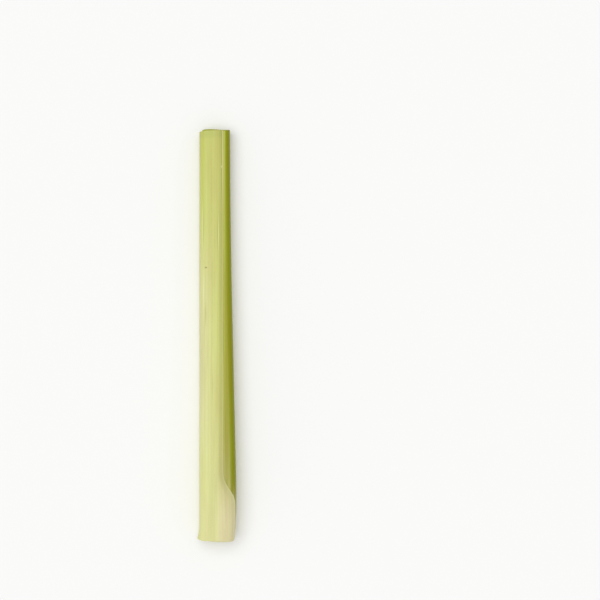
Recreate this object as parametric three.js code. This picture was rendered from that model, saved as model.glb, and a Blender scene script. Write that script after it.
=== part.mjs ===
// A cut stalk of lemongrass, lying on its side.
// Its leaves grip one another as rolled sheaths. Each sheath opens on the side away from the one
// outside it, and the youngest leaf is rolled up tight in the middle. A knife has cut both ends.
// Millimetres, +Z up. The stalk lies along Y, its green end at +Y, and the origin is under the
// middle of it, on the surface that it lies on.
import * as THREE from "three";

const { degToRad, lerp, smoothstep } = THREE.MathUtils;

// The stalk's length and how its girth grows from the green end, where it is 1, to the root end
const stalkLength = 128.2;
const girthSwell = 0.28;
const swellPower = 1.5;
const rootPinch = 0.12;
const pinchReach = 8;

// How much flatter than at the root end the stalk is at its green end
const greenEndDepth = 0.88;

// The sheaths, measured at the green end
const midribThickness = 0.74;
const marginThickness = 0.64;
const sheathGap = 0.13;
const featheredEdge = 0.75;
const climbAngle = degToRad(45);
const ribDepth = 0.05;

// The rolled young leaf in the middle: its radii, and which way it faces and how far it turns to
// each side of that
const heartInner = 0.14;
const heartOuter = 0.78;
const heartFacing = degToRad(80);
const heartHalfTurn = degToRad(168);

// The outermost sheath no longer meets round the stalk. Its front margin keeps to one distance
// from the stalk's left side, and turns off to the right near the root end.
const frontMarginX = 7.9;
const rootMargin = degToRad(26);
const marginTurnFrom = 11.5;
const marginTurnTo = 21;
const driftFade = 3;
const usualMargin = degToRad(60);
const lowerMargin = degToRad(328);

// The outermost sheath's cut root edge curls away from the stalk on the left
const rootCurl = 0.6;
const curlReach = 1.6;
const curlAngle = degToRad(70);

// How the two cuts lean: millimetres along the stalk for each millimetre across it and up it
const rootCutLean = { x: -0.02, z: -0.17 };
const greenCutLean = { x: 0.01, z: 0.06 };

// What the stalk's own weight has flattened of its underside
const restDepth = 0.1;

const lengthSteps = 20;
const stepCrowding = 1.4;

// An angle as one between -PI and PI
const turned = (angle) => Math.atan2(Math.sin(angle), Math.cos(angle));

function girthAt(along) {
  const swell = girthSwell * Math.max(1 - along / stalkLength, 0) ** swellPower;
  return 1 + swell - rootPinch * Math.exp(-along / pinchReach);
}

const depthAt = (along) => lerp(1, greenEndDepth, along / stalkLength);

// A sheath is thickest at its midrib, opposite its opening, and thins towards both margins
const thicknessAt = (fromOpening) =>
  lerp(marginThickness, midribThickness, smoothstep(fromOpening, 0, Math.PI));

// What a sheath's free margin is lifted by where it lies over the covered one
function liftAt(fromOpening, overlap) {
  const covered = 1 - smoothstep(fromOpening, overlap / 2, overlap / 2 + climbAngle);
  return (marginThickness + sheathGap) * covered;
}

// The edge of a sheet thins to a feather over its last step
const featherAt = (share, steps) =>
  lerp(1, featheredEdge, smoothstep(Math.abs(share), 1 - 2 / steps, 1));

// A sheath that closes round what it is wrapped on and overlaps itself. floor gives the radius of
// what is inside it, at any angle.
function closedSheath({ opening, overlap, steps, ribbed }, floor) {
  return (share, step) => {
    const angle = opening + Math.PI + share * (Math.PI + overlap / 2);
    const fromOpening = Math.abs(turned(angle - opening));
    const lift = share > 0 ? liftAt(fromOpening, overlap) : 0;
    const inner = floor(angle) + lift;
    const rib = ribbed && step % 2 ? ribDepth : 0;
    const thickness = thicknessAt(fromOpening) * featherAt(share, steps);
    return { angle, inner, outer: inner + thickness - rib };
  };
}

// The radius that the next sheath out is wrapped on
function floorOver({ opening, overlap }, floor) {
  return (angle) => {
    const fromOpening = Math.abs(turned(angle - opening));
    const lift = liftAt(fromOpening, overlap);
    return floor(angle) + thicknessAt(fromOpening) + lift + sheathGap;
  };
}

// How far the knife left each leaf standing proud of the outermost one is given with it, as
// rootProud and greenProud
const heartLeaf = {
  name: "heart_leaf",
  steps: 18,
  rootProud: 0.7,
  greenProud: -0.5,
  colour: 0xe6e8b4,
  sample(share) {
    const angle = heartFacing + share * heartHalfTurn;
    const thickness = (heartOuter - heartInner) * featherAt(share, this.steps);
    return { angle, inner: heartInner, outer: heartInner + thickness };
  },
};

// From the middle outwards
const closedSheaths = [
  {
    name: "fourth_sheath",
    opening: degToRad(190),
    overlap: degToRad(70),
    steps: 32,
    rootProud: 0.55,
    greenProud: -0.2,
    colour: 0xe2e6a8,
  },
  {
    name: "third_sheath",
    opening: degToRad(-8),
    overlap: degToRad(62),
    steps: 38,
    rootProud: 0.65,
    greenProud: -0.4,
    colour: 0xdde09c,
  },
  {
    name: "second_sheath",
    opening: degToRad(172),
    overlap: degToRad(56),
    steps: 46,
    ribbed: true,
    rootProud: 0.4,
    greenProud: 0.4,
    colour: 0xa8b24c,
  },
];

// Wraps each sheath on the one inside it, and gives the radius that the outermost is wrapped on
let floor = () => heartOuter + sheathGap;
for (const sheath of closedSheaths) {
  sheath.sample = closedSheath(sheath, floor);
  floor = floorOver(sheath, floor);
}
const underOuterSheath = floor;

const outerOpening = degToRad(8);
const outerRadius = (angle) =>
  underOuterSheath(angle) + thicknessAt(Math.abs(turned(angle - outerOpening)));
const leftReach = outerRadius(Math.PI);
const frontReach = outerRadius(Math.PI / 2);
const underReach = outerRadius(-Math.PI / 2);

// Where the outermost sheath's front margin is, as an angle about the stalk's middle
function frontMarginAt(along) {
  const fromMiddle = frontMarginX - leftReach * girthAt(along);
  const straight = Math.acos(fromMiddle / (frontReach * girthAt(along)));
  return lerp(rootMargin, straight, smoothstep(along, marginTurnFrom, marginTurnTo));
}

const outerSheath = {
  name: "outer_sheath",
  steps: 38,
  rootProud: 0,
  greenProud: 0,
  colour: 0xcdcf7c,
  sample(share, step, along) {
    const fromLowerMargin = (1 - share) / 2;
    const drift = (frontMarginAt(along) - usualMargin) * fromLowerMargin ** driftFade;
    const angle = lerp(lowerMargin, usualMargin, fromLowerMargin) + drift;
    const fromCurl = Math.abs(turned(angle - Math.PI));
    const curled = 1 - smoothstep(fromCurl, 0, curlAngle);
    const curl = rootCurl * curled * Math.exp(-along / curlReach);
    const inner = underOuterSheath(angle) + curl;
    const rib = step % 2 ? ribDepth : 0;
    const thickness = outerRadius(angle) - underOuterSheath(angle);
    return { angle, inner, outer: inner + thickness * featherAt(share, this.steps) - rib };
  },
};

// A point of the section at a distance along the stalk. The stalk's left side and its underside
// are straight, because it was packed and laid down against them.
function placed(angle, radius, along, share) {
  const girth = girthAt(along);
  const x = radius * Math.cos(angle) * girth;
  const z = radius * Math.sin(angle) * girth * depthAt(along);
  const lean = {
    x: lerp(rootCutLean.x, greenCutLean.x, share),
    z: lerp(rootCutLean.z, greenCutLean.z, share),
  };
  const height = z + underReach * girth * depthAt(along) - restDepth;
  return [leftReach * girth + x, along + lean.x * x + lean.z * z, Math.max(height, 0)];
}

// A sheet rolled round the stalk's middle, closed at its two margins and its two cut ends
function rolledSheet({ steps, rootProud, greenProud, sample }) {
  const positions = [];
  for (let row = 0; row <= lengthSteps; row++) {
    const share = (row / lengthSteps) ** stepCrowding;
    const along = lerp(-rootProud, stalkLength + greenProud, share);
    const across = Array.from({ length: steps + 1 }, (_, i) =>
      sample((2 * i) / steps - 1, i, along),
    );
    for (const { angle, outer } of across) positions.push(...placed(angle, outer, along, share));
    for (const { angle, inner } of across.reverse())
      positions.push(...placed(angle, inner, along, share));
  }
  const ring = 2 * (steps + 1);
  const faces = [];
  for (let row = 0; row < lengthSteps; row++)
    for (let i = 0; i < ring; i++) {
      const a = row * ring + i;
      const b = row * ring + ((i + 1) % ring);
      faces.push(a, b + ring, b, a, a + ring, b + ring);
    }
  const last = lengthSteps * ring;
  for (let i = 0; i < steps; i++) {
    const opposite = ring - 1 - i;
    faces.push(i, opposite - 1, opposite, i, i + 1, opposite - 1);
    faces.push(last + i, last + opposite, last + opposite - 1);
    faces.push(last + i, last + opposite - 1, last + i + 1);
  }
  const geometry = new THREE.BufferGeometry();
  geometry.setAttribute("position", new THREE.Float32BufferAttribute(positions, 3));
  geometry.setIndex(faces);
  geometry.computeVertexNormals();
  return geometry;
}

const stalk = new THREE.Group();
for (const leaf of [heartLeaf, ...closedSheaths, outerSheath]) {
  leaf.sample = leaf.sample.bind(leaf);
  const finish = new THREE.MeshStandardMaterial({ color: leaf.colour, roughness: 0.5 });
  const mesh = new THREE.Mesh(rolledSheet(leaf), finish);
  mesh.name = leaf.name;
  stalk.add(mesh);
}

// Brings the middle of the stalk over the origin
const extent = new THREE.Box3().setFromObject(stalk);
const middle = extent.getCenter(new THREE.Vector3());
stalk.position.set(-middle.x, -middle.y, -extent.min.z);

const part = new THREE.Group();
part.add(stalk);

export default part;
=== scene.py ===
import math
import random

import bpy
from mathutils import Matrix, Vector


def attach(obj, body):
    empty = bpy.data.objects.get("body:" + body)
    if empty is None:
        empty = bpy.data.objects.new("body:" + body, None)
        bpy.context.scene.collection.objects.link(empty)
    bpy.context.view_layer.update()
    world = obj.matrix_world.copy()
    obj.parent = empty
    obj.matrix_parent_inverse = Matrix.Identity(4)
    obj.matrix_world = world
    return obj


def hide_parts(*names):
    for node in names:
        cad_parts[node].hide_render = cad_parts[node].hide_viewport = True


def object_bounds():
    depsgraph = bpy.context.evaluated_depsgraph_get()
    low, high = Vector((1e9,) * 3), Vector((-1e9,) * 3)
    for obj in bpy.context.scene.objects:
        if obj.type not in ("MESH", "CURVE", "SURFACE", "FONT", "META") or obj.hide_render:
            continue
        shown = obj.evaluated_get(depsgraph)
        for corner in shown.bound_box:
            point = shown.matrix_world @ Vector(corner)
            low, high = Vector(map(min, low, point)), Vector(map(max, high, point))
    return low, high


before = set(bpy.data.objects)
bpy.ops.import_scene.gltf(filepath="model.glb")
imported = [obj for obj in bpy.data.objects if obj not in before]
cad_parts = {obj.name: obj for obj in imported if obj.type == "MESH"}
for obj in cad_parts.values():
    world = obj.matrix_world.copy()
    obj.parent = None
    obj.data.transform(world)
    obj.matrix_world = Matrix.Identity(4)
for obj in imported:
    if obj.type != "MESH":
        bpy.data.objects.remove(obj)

cad_low, cad_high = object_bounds()

# A trimmed lemongrass stalk. Its leaf sheaths are laid out flat, given their thickness and then
# rolled round one another. Lengths are millimetres until a leaf is rolled, and then metres.
MM = 0.001

# The stalk's length, how its girth grows from the green end, where it is 1, to the root end, and
# how much flatter than at the root end it is at its green end
STALK_LENGTH = 128.2
GIRTH_SWELL = 0.28
SWELL_POWER = 1.5
ROOT_PINCH = 0.12
PINCH_REACH = 8.0
GREEN_END_DEPTH = 0.88

# The sheaths, measured at the green end
MIDRIB_THICKNESS = 0.74
MARGIN_THICKNESS = 0.64
SHEATH_GAP = 0.13
CLIMB_ANGLE = math.radians(45)
TAPER_ANGLE = math.radians(34)
THINNEST_EDGE = 0.06

# The sheaths press on one another, closer than the solids, which leave SHEATH_GAP between them
SNUG_GAP = 0.04
PRESSED = SHEATH_GAP - SNUG_GAP

# The youngest leaf is a loose spiral
HEART_INNER = 0.1
HEART_OUTER = 0.78
HEART_THICKNESS = 0.21
HEART_START = math.radians(250)
HEART_TURN = math.radians(684)
HEART_TAPER = math.radians(70)
HEART_EDGE = 0.15

# The outermost sheath's free margins thin to a membrane that clings to the sheath below. The front
# one keeps to one distance from the stalk's left side, and turns off to the right near the root
# end.
MARGIN_TAPER = 2.2
MARGIN_EDGE = 0.14
FRONT_MARGIN_X = 7.9
ROOT_MARGIN = math.radians(26)
MARGIN_TURN = (11.5, 21.0)
DRIFT_FADE = 3
USUAL_MARGIN = math.radians(60)
LOWER_MARGIN = math.radians(328)
OUTER_OPENING = math.radians(8)

# The outermost sheath's cut root edge curls away from the stalk on the left
ROOT_CURL = 0.6
CURL_REACH = 1.6
CURL_ANGLE = math.radians(70)

# How the two cuts lean: millimetres along for each millimetre to the right and up
ROOT_CUT_LEAN = (-0.02, -0.17)
GREEN_CUT_LEAN = (0.01, 0.06)

# How a cut is off its plane: a slow wave and torn fibres, each with its height in millimetres and
# its rate in radians for each millimetre across the leaf. A leaf's wave starts at a place of its
# own, by the length of its name. The higher CUT_NEARNESS is, the sooner the unevenness is gone
# away from the cut.
CUT_WAVE = 0.12
CUT_WAVE_RATE = 0.55
CUT_WAVE_START = 2.1
FIBRE_HEIGHT = 0.03
FIBRE_RATES = (4.1, 11.3)
CUT_NEARNESS = 12

# The layers of faces that a cut has between a leaf's two skins, and how far apart along the leaf
# the corners of such a face may be
CUT_LAYERS = 3
SAME_PLACE = 0.001

# How much closer together a leaf's rows are at its cut ends, up to 1, and the angle between two
# faces from which the edge between them stays sharp
CROWDING = 0.5
SHARP_FROM = math.radians(50)

# The flat that the stalk's own weight has pressed in its underside
REST_DEPTH = 0.1

# The parallel veins stand between narrow grooves, about twice as far apart as real ones, so that
# they show. Each groove has a depth of its own, from a share of the whole upwards, and wavers along
# the leaf, each at a place of its own.
VEIN_SPACING = 0.92
GROOVE_DEPTH = 0.05
GROOVE_SHARPNESS = 5
SHALLOWEST_GROOVE = 0.25
GROOVE_DRAWS = 64
GROOVE_WAVER = 0.25
WAVER_RUN = 9.0
WAVER_START = 2.4

# The sheaths also swell and sink slowly, in two waves. A run is the millimetres along the stalk for
# a radian of a wave, and the twist is how fast the first one turns round the stalk.
SWELL_DEPTH = 0.05
SWELL_RUN = 13.0
SWELL_TWIST = 1.7
SLOW_SWELL_RUN = 31.0

# Width and length of what varies the colour of a skin, in millimetres: streaks, slow patches of
# greener and paler skin, and fine veins
STREAK = (0.435, 45.5)
PATCH = (3.33, 40.0)
FINE_VEIN = (0.143, 20.0)

# Over how many millimetres of the leaf the streaks spread a change of colour
STREAK_RUN = 36.0

# What a cut shows, in millimetres: how far apart its strands are across the leaf and in its
# thickness, and how wide its pores are
STRAND_SPACING = 0.568
STRAND_DEPTH = 0.4625
PORE = 0.111

# Specks and fine lines on the outermost sheath: place across and along, half width, how many times
# as long as wide, and colour. Those with a place across below 0 are on the front.
MARKS = [
    (-4.8, 85.3, 0.5, 0.8, "7c6428"),
    (-9.7, 116.9, 0.35, 2.0, "eeecb0"),
    (-8.1, 95.5, 0.22, 42.0, "a8a858"),
    (-8.5, 95.5, 0.2, 42.0, "e2e29c"),
    (-3.8, 98.0, 0.22, 55.0, "e4e6a0"),
    (-4.15, 98.0, 0.2, 55.0, "b0b264"),
    (-4.3, 77.0, 0.24, 45.0, "ecebb6"),
    (-4.8, 71.0, 0.22, 25.0, "b8b672"),
    (-6.6, 48.0, 0.22, 40.0, "c2be7c"),
    (3.6, 31.0, 0.35, 1.6, "9a8a44"),
    (5.2, 97.0, 0.3, 1.0, "9a8a44"),
    (8.4, 58.0, 0.4, 1.3, "8a7436"),
    (2.2, 72.0, 0.22, 50.0, "ecebb2"),
    (2.7, 64.0, 0.22, 40.0, "b4b26c"),
    (6.6, 90.0, 0.22, 45.0, "e4e6a0"),
]

# How much narrower the second sheath's wide olive band, partly painted shade, gets for each
# millimetre towards the green end
OLIVE_NARROWING = 0.02

# From the middle outwards. Overlap is how far a sheath's two margins pass each other, and the two
# ends say how far it stands proud of the outermost sheath there.
CLOSED_SHEATHS = [
    {
        "name": "fourth_sheath",
        "opening": math.radians(190),
        "overlap": math.radians(70),
        "columns": 96,
        "rows": 40,
        "root_proud": 0.55,
        "green_proud": -0.2,
    },
    {
        "name": "third_sheath",
        "opening": math.radians(-8),
        "overlap": math.radians(62),
        "columns": 120,
        "rows": 40,
        "root_proud": 0.65,
        "green_proud": -0.4,
    },
    {
        "name": "second_sheath",
        "opening": math.radians(172),
        "overlap": math.radians(56),
        "columns": 230,
        "rows": 110,
        "root_proud": 0.4,
        "green_proud": 0.4,
    },
]
HEART_LEAF = {
    "name": "heart_leaf",
    "columns": 96,
    "rows": 30,
    "root_proud": 0.7,
    "green_proud": -0.5,
}
OUTER_SHEATH = {
    "name": "outer_sheath",
    "columns": 190,
    "rows": 120,
    "root_proud": 0.0,
    "green_proud": 0.0,
}

# How far red, green and blue light scatter in a leaf, against one another
LEAF_SCATTER = (0.8, 1.0, 0.35)

# The photograph's frame: its width in pixels, millimetres to a pixel at the stalk, and the pixels
# where the stalk's left side and root end lie
PHOTO_WIDTH = 600
MM_PER_PIXEL = 0.3155
LEFT_SIDE_PIXEL = 199.2
ROOT_END_PIXEL = 537.8
CAMERA_DISTANCE = 0.9
SENSOR_WIDTH = 36.0

# The floor, in metres, and the lights
FLOOR_SIZE = 4.0
FLOOR_DROP = 0.00005
KEY_LIGHT_PLACE = (-0.2, 0.1, 0.8)
KEY_LIGHT_SPREAD = math.radians(60)
KEY_LIGHT_STRENGTH = 1.5
AIR_LIGHT_STRENGTH = 0.6


def mix(low, high, share):
    return low + (high - low) * share


def smooth(value, start, end):
    share = min(max((value - start) / (end - start), 0.0), 1.0)
    return share * share * (3.0 - 2.0 * share)


def turned(angle):
    """The same angle, between -pi and pi."""
    return math.atan2(math.sin(angle), math.cos(angle))


# The rolled section of each leaf

def girth_at(along):
    swell = GIRTH_SWELL * max(1.0 - along / STALK_LENGTH, 0.0) ** SWELL_POWER
    return 1.0 + swell - ROOT_PINCH * math.exp(-along / PINCH_REACH)


def depth_at(along):
    return mix(1.0, GREEN_END_DEPTH, along / STALK_LENGTH)


def thickness_at(from_opening):
    return mix(MARGIN_THICKNESS, MIDRIB_THICKNESS, smooth(from_opening, 0.0, math.pi))


def lift_at(from_opening, overlap):
    covered = 1.0 - smooth(from_opening, overlap / 2, overlap / 2 + CLIMB_ANGLE)
    return (MARGIN_THICKNESS + SHEATH_GAP) * covered


def radius_under(inside, angle):
    """The radius that a sheath is wrapped on, outside the sheaths in the list."""
    radius = HEART_OUTER + SHEATH_GAP
    for sheath in inside:
        from_opening = abs(turned(angle - sheath["opening"]))
        radius += thickness_at(from_opening) + lift_at(from_opening, sheath["overlap"]) + SHEATH_GAP
    return radius


def heart_radii(turn_share):
    """The inner and outer radius of the rolled young leaf, at a share of its turn."""
    inner = mix(HEART_INNER, HEART_OUTER - HEART_THICKNESS, turn_share)
    full = smooth((1.0 - turn_share) * HEART_TURN, 0.0, HEART_TAPER)
    return inner, inner + HEART_THICKNESS * mix(HEART_EDGE, 1.0, full)


def heart_section(share):
    turn_share = (share + 1.0) / 2
    inner, outer = heart_radii(turn_share)
    return HEART_START + turn_share * HEART_TURN, inner, outer - inner


def heart_reach(angle):
    """How far out the rolled young leaf comes at an angle."""
    before_end = (HEART_START + HEART_TURN - angle) % (2 * math.pi)
    return heart_radii(1.0 - before_end / HEART_TURN)[1]


def closed_section(sheath, share):
    """Angle, inner radius and thickness of a sheath that meets round what it is wrapped on. Past
    the overlap each margin tapers away, and fills the wedge under the layer that climbs over it."""
    inside = CLOSED_SHEATHS[:CLOSED_SHEATHS.index(sheath)]
    half_overlap = sheath["overlap"] / 2
    from_midrib = share * (math.pi + half_overlap + TAPER_ANGLE)
    angle = sheath["opening"] + math.pi + from_midrib
    to_opening = math.pi - abs(from_midrib)
    floor = radius_under(inside, angle)
    thickness = thickness_at(abs(to_opening))
    lift = lift_at(abs(to_opening), sheath["overlap"])
    inner = floor + (lift if share > 0 else 0.0)
    outer = inner + thickness
    if to_opening < -half_overlap:
        inner = floor + (thickness + SHEATH_GAP if share > 0 else 0.0)
        outer = inner + max(lift - SHEATH_GAP, THINNEST_EDGE - PRESSED)
    inner -= PRESSED
    if not inside:
        rests_on_heart = 1.0
        if share > 0:
            climb_end = half_overlap + TAPER_ANGLE
            rests_on_heart = smooth(abs(to_opening), climb_end, climb_end + TAPER_ANGLE)
        inner = mix(inner, heart_reach(angle) + SNUG_GAP, rests_on_heart)
    return angle, inner, outer - inner


def outer_radius(angle):
    thickness = thickness_at(abs(turned(angle - OUTER_OPENING)))
    return radius_under(CLOSED_SHEATHS, angle) + thickness


LEFT_REACH = outer_radius(math.pi)
FRONT_REACH = outer_radius(math.pi / 2)
UNDER_REACH = outer_radius(-math.pi / 2)


def straight_margin_at(along):
    """Where the front margin is, before it turns off, as an angle about the stalk's middle."""
    from_middle = FRONT_MARGIN_X - LEFT_REACH * girth_at(along)
    return math.acos(from_middle / (FRONT_REACH * girth_at(along)))


def front_margin_at(along):
    return mix(ROOT_MARGIN, straight_margin_at(along), smooth(along, *MARGIN_TURN))


def outer_veins_across(share, along):
    """How far across the flat leaf is the vein that lies at a share of the outermost sheath. The
    veins run on straight where the front margin turns off."""
    from_lower_margin = (1.0 - share) / 2
    straight = straight_margin_at(along)
    turn_off = (front_margin_at(along) - straight) * from_lower_margin ** DRIFT_FADE
    spread = DRIFT_FADE * (straight - USUAL_MARGIN) * from_lower_margin ** (DRIFT_FADE - 1)
    straight_share = from_lower_margin + turn_off / (USUAL_MARGIN - LOWER_MARGIN + spread)
    return (0.5 - straight_share) * flat_width(OUTER_SHEATH)


def outer_section(share, along):
    """Angle, inner radius and thickness of the outermost sheath, from its front margin round."""
    from_lower_margin = (1.0 - share) / 2
    drift = (front_margin_at(along) - USUAL_MARGIN) * from_lower_margin ** DRIFT_FADE
    angle = mix(LOWER_MARGIN, USUAL_MARGIN, from_lower_margin) + drift
    curled = 1.0 - smooth(abs(turned(angle - math.pi)), 0.0, CURL_ANGLE)
    curl = ROOT_CURL * curled * math.exp(-along / CURL_REACH)
    thickness = thickness_at(abs(turned(angle - OUTER_OPENING)))
    from_edge = (1.0 - abs(share)) * flat_width(OUTER_SHEATH) / 2
    full = smooth(from_edge, 0.0, MARGIN_TAPER)
    inner = radius_under(CLOSED_SHEATHS, angle) + curl - PRESSED
    return angle, inner, (thickness + PRESSED) * mix(MARGIN_EDGE, 1.0, full)


def section(leaf, share, along):
    if leaf is HEART_LEAF:
        return heart_section(share)
    if leaf is OUTER_SHEATH:
        return outer_section(share, along)
    return closed_section(leaf, share)


def flat_width(leaf):
    """The leaf's width laid out flat, half way up the stalk."""
    middle = STALK_LENGTH / 2
    if leaf is OUTER_SHEATH:
        return (LOWER_MARGIN - USUAL_MARGIN) * FRONT_REACH * girth_at(middle)
    first = section(leaf, -1.0, middle)[0]
    last = section(leaf, 1.0, middle)[0]
    middle_radius = section(leaf, 0.0, middle)[1] + MIDRIB_THICKNESS
    return abs(last - first) * middle_radius * girth_at(middle)


# Modelling

def deselect_all():
    if bpy.context.mode != "OBJECT":
        bpy.ops.object.mode_set(mode="OBJECT")
    bpy.ops.object.select_all(action="DESELECT")


def flat_leaf(leaf):
    """A leaf base laid out flat: a grid of its real size, extruded to its thickness."""
    deselect_all()
    bpy.ops.mesh.primitive_grid_add(
        x_subdivisions=leaf["columns"], y_subdivisions=leaf["rows"], size=1.0, calc_uvs=False
    )
    piece = bpy.context.object
    piece.name = leaf["name"] + "_leaf_base"
    length = STALK_LENGTH + leaf["root_proud"] + leaf["green_proud"]
    bpy.ops.object.mode_set(mode="EDIT")
    bpy.ops.mesh.select_all(action="SELECT")
    bpy.ops.transform.resize(value=(flat_width(leaf), length, 1.0))
    bpy.ops.transform.translate(value=(0.0, length / 2 - leaf["root_proud"], 0.0))
    for layer in range(CUT_LAYERS):
        bpy.ops.mesh.extrude_region_move(
            TRANSFORM_OT_translate={"value": (0.0, 0.0, MIDRIB_THICKNESS / CUT_LAYERS)}
        )
    bpy.ops.mesh.select_all(action="SELECT")
    bpy.ops.mesh.normals_make_consistent(inside=False)
    bpy.ops.object.mode_set(mode="OBJECT")
    return piece


def eased(share):
    """Draws the rows of a leaf closer together towards its two cut ends."""
    turn = 2 * math.pi
    return share - CROWDING * math.sin(turn * share) / turn


def groove_depths(leaf):
    """How deep each groove between two veins is, as a share of the deepest."""
    draw = random.Random(leaf["name"])
    return [draw.uniform(SHALLOWEST_GROOVE, 1.0) for _ in range(GROOVE_DRAWS)]


def relief(across, along, angle, depths):
    """What the grooves between the veins and the sheath's slow swells take off its outside."""
    vein = math.floor(across / VEIN_SPACING)
    groove = abs(math.cos(math.pi * across / VEIN_SPACING)) ** GROOVE_SHARPNESS
    depth = GROOVE_DEPTH * depths[vein % len(depths)]
    waver = math.sin(along / WAVER_RUN + WAVER_START * vein)
    strength = 1.0 - GROOVE_WAVER * (1.0 - waver)
    swell = math.sin(along / SWELL_RUN + SWELL_TWIST * angle)
    slow_swell = math.cos(along / SLOW_SWELL_RUN - angle)
    return depth * groove * strength + SWELL_DEPTH * (1.0 + swell * slow_swell) / 2


def cut_shift(leaf, across, end_share):
    """How far the knife's cut is off its plane, at the root end for 0 and the green end for 1."""
    wave = CUT_WAVE * math.sin(across * CUT_WAVE_RATE + CUT_WAVE_START * len(leaf["name"]))
    fibre = FIBRE_HEIGHT
    for start, rate in enumerate(FIBRE_RATES):
        fibre *= math.sin(across * rate + start)
    nearness = abs(2.0 * end_share - 1.0) ** CUT_NEARNESS
    return (wave + fibre) * nearness


def roll_up(piece, leaf):
    """Rolls a flat leaf base round the middle of the stalk. Blender's bend needs a window, and the
    roll isn't a circle, so the vertices are moved here. The flat place of each is kept with it, and
    how far it is from the leaf's first margin."""
    mesh = piece.data
    half_width = flat_width(leaf) / 2
    length = STALK_LENGTH + leaf["root_proud"] + leaf["green_proud"]
    depths = groove_depths(leaf)
    mesh.attributes.new("leaf_mm", "FLOAT_VECTOR", "POINT")
    mesh.attributes.new("from_margin_mm", "FLOAT", "POINT")
    flat = mesh.attributes["leaf_mm"].data
    from_margin = mesh.attributes["from_margin_mm"].data
    for number, vertex in enumerate(mesh.vertices):
        across, along, height = vertex.co
        end_share = eased(min(max((along + leaf["root_proud"]) / length, 0.0), 1.0))
        along = end_share * length - leaf["root_proud"]
        angle, inner, thickness = section(leaf, across / half_width, along)
        layer = height / MIDRIB_THICKNESS
        from_margin[number].value = across + half_width
        if leaf is OUTER_SHEATH:
            across = outer_veins_across(across / half_width, along)
        flat[number].vector = (across, along, layer)
        grooves = relief(across, along, angle, depths) * thickness / MIDRIB_THICKNESS
        radius = inner + layer * (thickness - grooves)
        girth = girth_at(along)
        x = radius * math.cos(angle) * girth
        z = radius * math.sin(angle) * girth * depth_at(along)
        lean_x = mix(ROOT_CUT_LEAN[0], GREEN_CUT_LEAN[0], end_share)
        lean_z = mix(ROOT_CUT_LEAN[1], GREEN_CUT_LEAN[1], end_share)
        up = z + UNDER_REACH * girth * depth_at(along) - REST_DEPTH
        y = along + lean_x * x + lean_z * z + cut_shift(leaf, across, end_share)
        vertex.co = Vector((LEFT_REACH * girth + x, y, max(up, 0.0))) * MM


def mark_cut_faces(piece):
    """Gives the faces that the knife left, between a leaf's two skins, the second material."""
    flat = piece.data.attributes["leaf_mm"].data
    for face in piece.data.polygons:
        alongs = [flat[number].vector.y for number in face.vertices]
        if max(alongs) - min(alongs) < SAME_PLACE:
            face.material_index = 1


def leaf_piece(leaf, skin, flesh):
    piece = flat_leaf(leaf)
    roll_up(piece, leaf)
    deselect_all()
    piece.select_set(True)
    bpy.context.view_layer.objects.active = piece
    bpy.ops.object.mode_set(mode="EDIT")
    bpy.ops.mesh.select_all(action="SELECT")
    bpy.ops.mesh.normals_make_consistent(inside=False)
    bpy.ops.object.mode_set(mode="OBJECT")
    piece.data.materials.append(skin)
    piece.data.materials.append(flesh)
    mark_cut_faces(piece)
    bpy.ops.object.shade_smooth_by_angle(angle=SHARP_FROM)
    return piece


def centre_on_frame(pieces):
    """Moves the rolled leaves together, so that the middle of the stalk is where the frame has it,
    and gives how far."""
    corners = [vertex.co for piece in pieces for vertex in piece.data.vertices]
    deselect_all()
    for piece in pieces:
        piece.select_set(True)
    shift = []
    for axis in (0, 1):
        values = [corner[axis] for corner in corners]
        middle = (min(values) + max(values)) / 2
        shift.append((cad_low[axis] + cad_high[axis]) / 2 - middle)
    bpy.ops.transform.translate(value=(shift[0], shift[1], 0.0))
    bpy.ops.object.transform_apply(location=True, rotation=False, scale=False)
    return shift


# Materials

def colour(hex_code):
    """A colour for a socket, from its sRGB hex value."""
    channels = []
    for start in (0, 2, 4):
        value = int(hex_code[start:start + 2], 16) / 255
        linear = value / 12.92 if value <= 0.04045 else ((value + 0.055) / 1.055) ** 2.4
        channels.append(linear)
    return (*channels, 1.0)


def add(tree, kind, settings=(), links=(), stops=()):
    """Adds a node. Settings are properties by name or input values by name or number, links are the
    outputs that feed its inputs, and stops are the places and colours of a ramp."""
    made = tree.nodes.new(kind)
    for key, value in dict(settings).items():
        if isinstance(key, str) and hasattr(made, key):
            setattr(made, key, value)
        else:
            made.inputs[key].default_value = value
    for key, source in dict(links).items():
        tree.links.new(source, made.inputs[key])
    for number, (place, hex_code) in enumerate(stops):
        elements = made.color_ramp.elements
        stop = elements[number] if number < 2 else elements.new(place)
        stop.position = place
        stop.color = colour(hex_code)
    return made


def new_material(name):
    material = bpy.data.materials.new(name)
    material.use_nodes = True
    tree = material.node_tree
    tree.nodes.clear()
    return material, tree


def blended(tree, share, first, second_hex):
    """The colour mixed with a second one, by a share that varies over the skin."""
    made = add(
        tree, "ShaderNodeMix", {"data_type": "RGBA", 7: colour(second_hex)}, {0: share, 6: first}
    )
    return made.outputs[2]


def fade(tree, value, start, end, strength=1.0, floor=0.0):
    """A share that rises smoothly as the value goes from start to end."""
    made = add(
        tree,
        "ShaderNodeMapRange",
        {
            "interpolation_type": "SMOOTHSTEP",
            "From Min": start,
            "From Max": end,
            "To Min": floor,
            "To Max": strength,
        },
        {"Value": value},
    )
    return made.outputs[0]


def distance_from(tree, value, middle):
    off = add(tree, "ShaderNodeMath", {"operation": "SUBTRACT", 1: middle}, {0: value})
    size = add(tree, "ShaderNodeMath", {"operation": "ABSOLUTE"}, {0: off.outputs[0]})
    return size.outputs[0]


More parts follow.
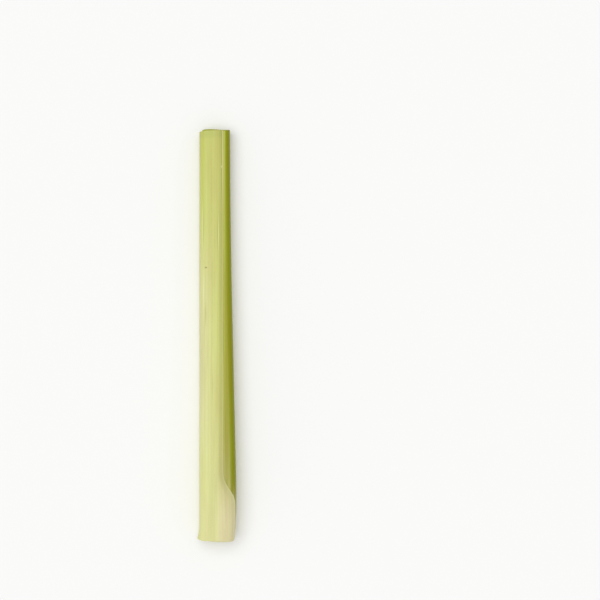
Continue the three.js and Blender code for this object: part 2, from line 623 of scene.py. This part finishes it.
def tinged(tree, base, hex_code, *shares):
    """The colour mixed with a second one where all the shares are high."""
    both = shares[0]
    for share in shares[1:]:
        product = add(tree, "ShaderNodeMath", {"operation": "MULTIPLY"}, {0: both, 1: share})
        both = product.outputs[0]
    return blended(tree, both, base, hex_code)


def leaf_noise(tree, place, size, detail):
    """Noise on the flat leaf, whose blotches have a width across it and a length along it."""
    width, length = size
    scale = (1.0 / width, 1.0 / length, 0.0)
    stretched = add(tree, "ShaderNodeMapping", {"Scale": scale}, {"Vector": place})
    noise = add(
        tree,
        "ShaderNodeTexNoise",
        {"Scale": 1.0, "Detail": detail, "Roughness": 0.6},
        {"Vector": stretched.outputs["Vector"]},
    )
    return noise.outputs["Fac"]


def leaf_skin(name, along_stops, streak, tint=None, shine=0.5):
    """Fresh grass leaf sheath, grown with parallel veins under a thin waxy cuticle: a satin skin
    with fine lines along it, paler and yellower towards the root. A tint is a function that takes
    the tree, the flat place across and along, the place along with ragged ends, and the colour so
    far, and gives the new colour."""
    material, tree = new_material(name)
    flat = add(tree, "ShaderNodeAttribute", {"attribute_name": "leaf_mm"})
    place = flat.outputs["Vector"]
    parts = add(tree, "ShaderNodeSeparateXYZ", links={0: place})
    across = parts.outputs["X"]
    along = parts.outputs["Y"]

    # Where a colour gives way to another along the leaf, it runs out in streaks
    streaks = leaf_noise(tree, place, STREAK, 3.0)
    run_out = add(
        tree,
        "ShaderNodeMath",
        {"operation": "MULTIPLY_ADD", 1: STREAK_RUN, 2: -STREAK_RUN / 2},
        {0: streaks},
    )
    ragged = add(
        tree, "ShaderNodeMath", {"operation": "ADD"}, {0: run_out.outputs[0], 1: along}
    )
    length_share = add(
        tree, "ShaderNodeMapRange", {"From Max": STALK_LENGTH}, {"Value": ragged.outputs[0]}
    )
    base = add(tree, "ShaderNodeValToRGB", links={0: length_share.outputs[0]}, stops=along_stops)
    tinted = base.outputs["Color"]
    if tint:
        tinted = tint(tree, across, along, ragged.outputs[0], tinted)
    streaked = tinged(
        tree,
        tinted,
        streak,
        fade(tree, streaks, 0.4, 0.8, 0.3),
        fade(tree, along, 10.0, 50.0, floor=0.3),
        fade(tree, along, 124.0, 90.0, floor=0.3),
    )

    # Slow patches of greener and paler skin, and fine darker veins
    patches = leaf_noise(tree, place, PATCH, 2.0)
    veins = leaf_noise(tree, place, FINE_VEIN, 1.0)
    shades = add(
        tree,
        "ShaderNodeMath",
        {"operation": "MULTIPLY"},
        {
            0: fade(tree, patches, 0.3, 0.7, 1.04, 0.95),
            1: fade(tree, veins, 0.3, 0.7, 1.02, 0.98),
        },
    )
    patched = add(
        tree,
        "ShaderNodeHueSaturation",
        links={
            "Hue": fade(tree, patches, 0.3, 0.7, 0.506, 0.49),
            "Value": shades.outputs[0],
            "Color": streaked,
        },
    )

    bump = add(
        tree, "ShaderNodeBump", {"Strength": 0.35, "Distance": 0.00006}, {"Height": streaks}
    )
    shader = add(
        tree,
        "ShaderNodeBsdfPrincipled",
        {
            "IOR": 1.36,
            "Specular IOR Level": shine,
            "Subsurface Weight": 0.12,
            "Subsurface Scale": 0.0012,
            "Subsurface Radius": LEAF_SCATTER,
        },
        {
            "Base Color": patched.outputs["Color"],
            "Roughness": fade(tree, streaks, 0.0, 1.0, 0.58, 0.38),
            "Normal": bump.outputs["Normal"],
        },
    )
    add(tree, "ShaderNodeOutputMaterial", links={"Surface": shader.outputs[0]})
    return material


def outer_tint(tree, across, along, ragged, base):
    """Beige at the root and greener further up beside the front margin, painted shade as a duller
    stripe next to them near the root, a painted sheen of light on the left, fresh green at the
    green end, and specks and fine lines."""
    # Painted shade: a duller, darker stripe over the front's right half near the root
    painted_shade_stripe = tinged(
        tree,
        base,
        "b2ae6e",
        fade(tree, across, -4.6, -8.0, 0.28),
        fade(tree, across, -11.5, -9.5),
        fade(tree, along, 28.0, 16.0),
        fade(tree, along, 0.0, 10.0, floor=0.6),
    )
    beiged = tinged(
        tree,
        painted_shade_stripe,
        "ddd3a4",
        fade(tree, across, -6.4, -10.2, 0.85),
        fade(tree, along, 26.0, 8.0),
    )
    greened = tinged(
        tree,
        beiged,
        "aeae4c",
        fade(tree, across, -5.6, -13.0, 0.6),
        fade(tree, along, 120.0, 80.0, floor=0.3),
        fade(tree, along, 4.0, 28.0),
    )
    # Painted sheen: a pale band of light down the stalk's left side, put into the skin's colour
    painted_sheen = tinged(
        tree,
        greened,
        "e6e4b8",
        fade(tree, across, -7.5, -3.5),
        fade(tree, across, 6.0, 1.0),
        fade(tree, along, 20.0, 45.0, 0.4),
        fade(tree, along, 104.0, 72.0),
    )
    freshened = tinged(
        tree,
        painted_sheen,
        "bec658",
        fade(tree, distance_from(tree, across, -3.7), 1.2, 0.3, 0.4),
        fade(tree, ragged, 92.0, 116.0),
    )
    edged = tinged(tree, freshened, "b4bb64", fade(tree, along, 125.4, 126.8, 0.6))
    lined = margin_lines(tree, along, edged)
    for mark in MARKS:
        lined = marked(tree, across, along, lined, *mark)
    return lined


def margin_lines(tree, along, base):
    """The front margin is a thin pale membrane at both ends, with a fine dark line beside it near
    the green end."""
    margin = add(tree, "ShaderNodeAttribute", {"attribute_name": "from_margin_mm"})
    distance = margin.outputs["Fac"]
    dark = fade(tree, distance_from(tree, distance, 0.7), 0.3, 0.0, 0.45)
    darkened = tinged(tree, base, "9a984a", dark, fade(tree, along, 104.0, 113.0, floor=0.05))
    pale = fade(tree, distance_from(tree, distance, 0.2), 0.35, 0.05, 0.6)
    paled = tinged(tree, darkened, "e6e49a", pale, fade(tree, along, 100.0, 116.0, floor=0.25))
    return tinged(tree, paled, "e8e4b4", pale, fade(tree, along, 18.0, 12.0, 0.3))


def marked(tree, across, along, base, mark_across, mark_along, half_width, stretch, hex_code):
    """One speck or fine line. Stretch is how many times as long as wide it is."""
    x = distance_from(tree, across, mark_across)
    y = distance_from(tree, along, mark_along)
    shrunk = add(tree, "ShaderNodeMath", {"operation": "DIVIDE", 1: stretch}, {0: y})
    apart = add(tree, "ShaderNodeCombineXYZ", links={"X": x, "Y": shrunk.outputs[0]})
    size = add(
        tree, "ShaderNodeVectorMath", {"operation": "LENGTH"}, {0: apart.outputs["Vector"]}
    )
    return tinged(tree, base, hex_code, fade(tree, size.outputs["Value"], half_width, 0.0, 0.8))


def second_tint(tree, across, along, ragged, base):
    """Olive on both sides of the midrib, which lies on the right, and pale towards the root. The
    olive is partly the leaf's own greener colour and partly painted shade on the stalk's right
    side:
    a band that widens towards the root lies round a darker one, which is painted shade. The green
    cut has dried dark at its edge."""
    from_midrib = distance_from(tree, across, 0.0)
    narrowed = add(
        tree,
        "ShaderNodeMath",
        {"operation": "MULTIPLY_ADD", 1: OLIVE_NARROWING},
        {0: along, 2: from_midrib},
    )
    above_root = fade(tree, ragged, 4.0, 20.0)
    off_midrib = fade(tree, from_midrib, 0.0, 2.2, floor=0.6)
    # The wide olive band is partly the leaf's own colour and partly painted shade
    olive_and_shade_band = fade(tree, narrowed.outputs[0], 7.1, 5.9, 0.5)
    # The dark band is painted shade, darkest towards the stalk's right edge
    painted_shade_band = fade(tree, from_midrib, 4.6, 3.1, 0.98)
    olive_and_shaded = tinged(tree, base, "848900", olive_and_shade_band, above_root, off_midrib)
    painted_shade_olive = tinged(tree, olive_and_shaded, "888d00", painted_shade_band, above_root, off_midrib)
    return tinged(tree, painted_shade_olive, "8e9238", fade(tree, along, 128.0, 128.5, 0.7))


def cut_flesh(name, flesh, green_flesh, rind, green_rind):
    """Fresh grass stem tissue, cut with a knife: moist pale flesh with darker strands, greener
    under its two skins and at the green end."""
    material, tree = new_material(name)
    place = add(tree, "ShaderNodeAttribute", {"attribute_name": "leaf_mm"})
    parts = add(tree, "ShaderNodeSeparateXYZ", links={0: place.outputs["Vector"]})
    to_green_end = fade(tree, parts.outputs["Y"], 0.3 * STALK_LENGTH, 0.7 * STALK_LENGTH)
    to_root_end = fade(tree, parts.outputs["Y"], 0.7 * STALK_LENGTH, 0.3 * STALK_LENGTH)
    ground = add(tree, "ShaderNodeRGB")
    ground.outputs[0].default_value = colour(flesh)
    fleshed = blended(tree, to_green_end, ground.outputs[0], green_flesh)

    # Strands run along the leaf, so a cut shows them as dots. The place in a leaf's thickness is
    # given from 0 to 1.
    across_strands = add(
        tree,
        "ShaderNodeMapping",
        {"Scale": (1.0 / STRAND_SPACING, 0.0, MIDRIB_THICKNESS / STRAND_DEPTH)},
        {"Vector": place.outputs["Vector"]},
    )
    strands = add(
        tree, "ShaderNodeTexVoronoi", {"Scale": 1.0}, {"Vector": across_strands.outputs["Vector"]}
    )
    strand_share = fade(tree, strands.outputs["Distance"], 0.32, 0.05, 0.4)
    stranded = blended(tree, strand_share, fleshed, "aead62")
    rind_share = fade(tree, distance_from(tree, parts.outputs["Z"], 0.5), 0.25, 0.5, 0.8)
    root_rinded = tinged(tree, stranded, rind, rind_share, to_root_end)
    rinded = tinged(tree, root_rinded, green_rind, rind_share, to_green_end)

    pores = add(
        tree,
        "ShaderNodeTexNoise",
        {"Scale": 1.0 / PORE, "Detail": 2.0},
        {"Vector": place.outputs["Vector"]},
    )
    bump = add(
        tree,
        "ShaderNodeBump",
        {"Strength": 0.5, "Distance": 0.0001},
        {"Height": pores.outputs["Fac"]},
    )
    shader = add(
        tree,
        "ShaderNodeBsdfPrincipled",
        {
            "Roughness": 0.5,
            "IOR": 1.38,
            "Subsurface Weight": 0.2,
            "Subsurface Scale": 0.001,
            "Subsurface Radius": LEAF_SCATTER,
        },
        {"Base Color": rinded, "Normal": bump.outputs["Normal"]},
    )
    add(tree, "ShaderNodeOutputMaterial", links={"Surface": shader.outputs[0]})
    return material


def floor_paper():
    """Matt white background paper."""
    material, tree = new_material("matt_white_background_paper")
    shader = add(
        tree, "ShaderNodeBsdfPrincipled", {"Base Color": colour("f4f4f3"), "Roughness": 0.9}
    )
    add(tree, "ShaderNodeOutputMaterial", links={"Surface": shader.outputs[0]})
    return material


# The camera, the lights and the floor

def place_camera(left_side_x, root_end_y):
    """Looks straight down, as the photograph looks at the stalk, from over the frame's middle."""
    half_frame = PHOTO_WIDTH / 2
    x = left_side_x + (half_frame - LEFT_SIDE_PIXEL) * MM_PER_PIXEL * MM
    y = root_end_y + (ROOT_END_PIXEL - half_frame) * MM_PER_PIXEL * MM
    stalk_height = (cad_low.z + cad_high.z) / 2
    bpy.ops.object.camera_add(location=(x, y, stalk_height + CAMERA_DISTANCE), rotation=(0, 0, 0))
    camera = bpy.context.object
    camera.data.sensor_width = SENSOR_WIDTH
    camera.data.lens = SENSOR_WIDTH * CAMERA_DISTANCE / (PHOTO_WIDTH * MM_PER_PIXEL * MM)
    bpy.context.scene.camera = camera


def key_light():
    """A far soft white light, even over the whole floor, that shines from its place towards the
    stalk."""
    bpy.ops.object.light_add(type="SUN", location=KEY_LIGHT_PLACE)
    light = bpy.context.object
    light.name = "key_light"
    light.rotation_euler = Vector(KEY_LIGHT_PLACE).to_track_quat("Z", "Y").to_euler()
    light.data.angle = KEY_LIGHT_SPREAD
    light.data.energy = KEY_LIGHT_STRENGTH


def studio():
    """A paper floor under the stalk, the key light, and white light from all round."""
    deselect_all()
    bpy.ops.mesh.primitive_plane_add(size=FLOOR_SIZE, location=(0, 0, -FLOOR_DROP))
    floor = bpy.context.object
    floor.name = "floor"
    floor.data.materials.append(floor_paper())
    key_light()
    world = bpy.data.worlds.new("studio_air")
    world.use_nodes = True
    background = world.node_tree.nodes["Background"]
    background.inputs["Color"].default_value = colour("ffffff")
    background.inputs["Strength"].default_value = AIR_LIGHT_STRENGTH
    bpy.context.scene.world = world
    bpy.context.scene.view_settings.view_transform = "Standard"


# The colours of the skins: shares of the way from the root end to the green end, and the colour
# there
OUTER_COLOURS = [
    (0.0, "d9d896"),
    (0.22, "d4d58e"),
    (0.35, "d1d285"),
    (0.6, "cdce7d"),
    (0.82, "c7c973"),
    (1.0, "c1c26a"),
]
SECOND_COLOURS = [
    (0.0, "e2dab0"),
    (0.12, "cfc886"),
    (0.25, "c6c26a"),
    (0.45, "c6c662"),
    (1.0, "bec25a"),
]
INNER_COLOURS = [(0.0, "eceac2"), (0.5, "e0e6a8"), (1.0, "d2de92")]

outer_skin = leaf_skin("outer_leaf_sheath_waxy_skin", OUTER_COLOURS, "b4b468", outer_tint)
second_skin = leaf_skin(
    "second_leaf_sheath_waxy_skin", SECOND_COLOURS, "7c8010", second_tint, shine=0.25
)
inner_skin = leaf_skin("inner_leaf_sheath_moist_skin", INNER_COLOURS, "c8d084")
outer_flesh = cut_flesh("outer_leaf_cut_flesh", "eae8bc", "c6cc88", "c6c87c", "a4ac58")
inner_flesh = cut_flesh("inner_leaf_cut_flesh", "f2efd2", "dae0aa", "dcdca2", "bcc67c")

leaves = [
    leaf_piece(OUTER_SHEATH, outer_skin, outer_flesh),
    leaf_piece(CLOSED_SHEATHS[2], second_skin, outer_flesh),
    leaf_piece(CLOSED_SHEATHS[1], inner_skin, inner_flesh),
    leaf_piece(CLOSED_SHEATHS[0], inner_skin, inner_flesh),
    leaf_piece(HEART_LEAF, inner_skin, inner_flesh),
]
nodes = ["outer_sheath", "second_sheath", "third_sheath", "fourth_sheath", "heart_leaf"]
shift_x, shift_y = centre_on_frame(leaves)
for leaf, node in zip(leaves, nodes):
    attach(leaf, "root")
    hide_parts(node)

place_camera(shift_x, shift_y)
studio()
